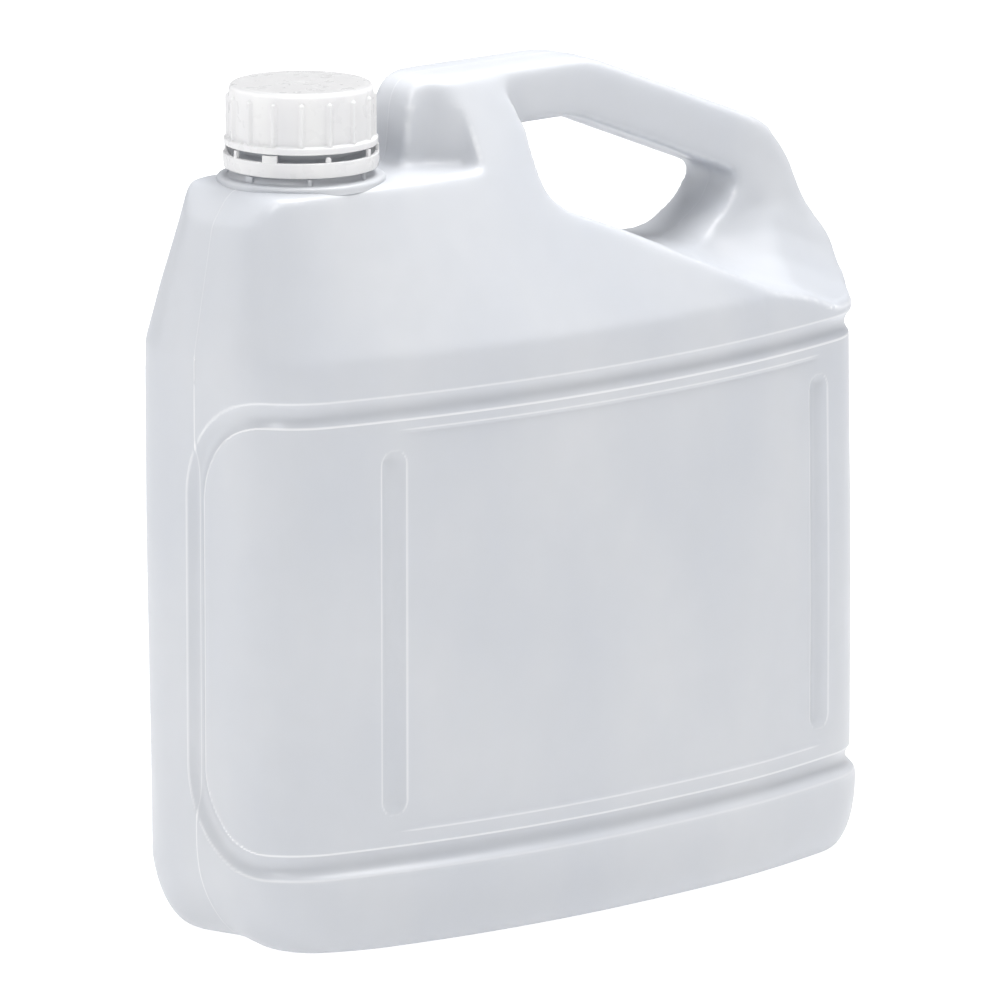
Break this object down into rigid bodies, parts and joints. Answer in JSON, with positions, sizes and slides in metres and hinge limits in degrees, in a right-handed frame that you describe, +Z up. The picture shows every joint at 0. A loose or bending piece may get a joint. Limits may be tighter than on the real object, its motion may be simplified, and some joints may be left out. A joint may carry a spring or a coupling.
{
  "type": "handled plastic jug",
  "caption": "Flat translucent jug for liquids with a moulded-in hollow handle, a ribbed screw cap and a tamper-evident band.",
  "frame": {"origin": "middle of the underside, on the surface that the jug stands on", "axes": "+Z up; X along the long side with the neck at the -X end; Y from the front broad face (-Y) to the back (+Y); the parting line lies at Y = 0"},
  "size_m": [0.261, 0.11, 0.2763],
  "materials": {
    "milky_hdpe": "satin, milky and translucent",
    "white_cap": "semi-gloss moulded white",
    "white_band": "semi-gloss moulded white",
    "foam_liner": "matt foam"
  },
  "bodies": {
    "root": {"bottle": "milky_hdpe", "tamper_band": "white_band"},
    "liner": {"cap_liner": "foam_liner"},
    "cap": {"screw_cap": "white_cap"}
  },
  "joints": [
    {"name": "cap_lift", "type": "slide", "parent": "root", "child": "liner", "axis": [0, 0, 1], "range_m": [0, 0.025]},
    {"name": "cap_turn", "type": "hinge", "parent": "liner", "child": "cap", "pos_m": [-0.086, 0, 0.2666], "axis": [0, 0, 1], "range_deg": [0, 1799]}
  ],
  "couplings": [
    {"joint": "cap_lift", "follows": "cap_turn", "m_per_rad": 0.00079577}
  ]
}
